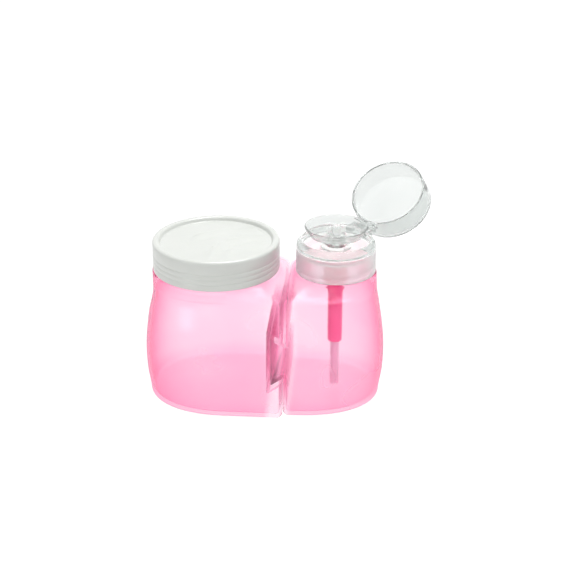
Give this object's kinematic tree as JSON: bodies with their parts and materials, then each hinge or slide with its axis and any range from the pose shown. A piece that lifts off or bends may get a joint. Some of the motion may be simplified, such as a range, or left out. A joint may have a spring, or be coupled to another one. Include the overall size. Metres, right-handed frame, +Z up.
{
  "type": "nail salon cotton jar with docked remover pump bottle",
  "caption": "Frosted pink cotton jar with a white screw lid, docked by a dovetail to a remover bottle with a press-down pump, clear dish and flip cap.",
  "frame": {"origin": "on the base, in the middle of the length of the two bodies, under the jar's flat floor 12 mm left of the seam", "axes": "+X from jar to bottle, +Y from front to back, +Z up"},
  "size_m": [0.1565, 0.1072, 0.1149],
  "materials": {
    "pink_frosted": "translucent frosted pink blow-moulded plastic, satin",
    "pink_moulded": "translucent deep pink moulded plastic",
    "white_gloss": "opaque white moulded plastic, semi-gloss",
    "foam_white": "white foamed sealing disc",
    "natural_frosted": "natural translucent plastic, satin",
    "natural_plastic": "natural translucent plastic",
    "tube_plastic": "natural translucent tube",
    "clear_plastic": "clear moulded plastic, polished",
    "spring_steel": "bright stainless steel"
  },
  "bodies": {
    "jar": {"jar_body": "pink_frosted"},
    "jar_lid_lift": {"jar_lid_liner": "foam_white"},
    "jar_lid": {"jar_lid": "white_gloss"},
    "bottle": {"bottle_body": "pink_frosted"},
    "pump_core": {"pump_cylinder": "pink_moulded", "neck_gasket": "foam_white", "lock_bush": "natural_plastic", "dip_tube": "tube_plastic", "ball_retainer": "natural_plastic", "pump_spring": "spring_steel"},
    "collar": {"pump_collar": "natural_frosted", "hinge_ring": "clear_plastic"},
    "flip_cap": {"flip_cap": "clear_plastic"},
    "plunger": {"press_cup": "clear_plastic", "spout_nozzle": "natural_plastic", "pump_stem": "natural_plastic", "piston": "natural_plastic"},
    "inlet_ball": {"inlet_ball": "spring_steel"},
    "outlet_ball": {"outlet_ball": "spring_steel"}
  },
  "joints": [
    {"name": "jar_lid_rise", "type": "slide", "parent": "jar", "child": "jar_lid_lift", "axis": [0, 0, 1], "range_m": [0, 0.01261]},
    {"name": "jar_lid_turn", "type": "hinge", "parent": "jar_lid_lift", "child": "jar_lid", "pos_m": [-0.02635, 0, 0.08], "axis": [0, 0, 1], "range_deg": [0, 1080]},
    {"name": "bottle_undock", "type": "slide", "parent": "jar", "child": "bottle", "axis": [0, 1, 0], "range_m": [-0.075, 0.075]},
    {"name": "pump_rise", "type": "slide", "parent": "bottle", "child": "pump_core", "axis": [0, 0, 1], "range_m": [0, 0.00053]},
    {"name": "collar_turn", "type": "hinge", "parent": "pump_core", "child": "collar", "pos_m": [0.03865, 0, 0.08], "axis": [0, 0, 1], "range_deg": [0, 45]},
    {"name": "cap_hinge", "type": "hinge", "parent": "collar", "child": "flip_cap", "pos_m": [0.05311, 0.02351, 0.0878], "axis": [0.8517, -0.524, 0], "range_deg": [0, 142.2]},
    {"name": "cup_press", "type": "slide", "parent": "pump_core", "child": "plunger", "axis": [0, 0, -1], "range_m": [0, 0.005], "stiffness_N_per_m": 400, "springref_m": -0.004, "deforming": ["pump_spring"]},
    {"name": "inlet_valve_lift", "type": "slide", "parent": "pump_core", "child": "inlet_ball", "axis": [0, 0, 1], "range_m": [0, 0.001]},
    {"name": "outlet_valve_lift", "type": "slide", "parent": "plunger", "child": "outlet_ball", "axis": [0, 0, 1], "range_m": [0, 0.0009]}
  ],
  "couplings": [
    {"joint": "jar_lid_rise", "follows": "jar_lid_turn", "m_per_rad": 0.00066845},
    {"joint": "pump_rise", "follows": "collar_turn", "m_per_rad": 0.00066845}
  ]
}
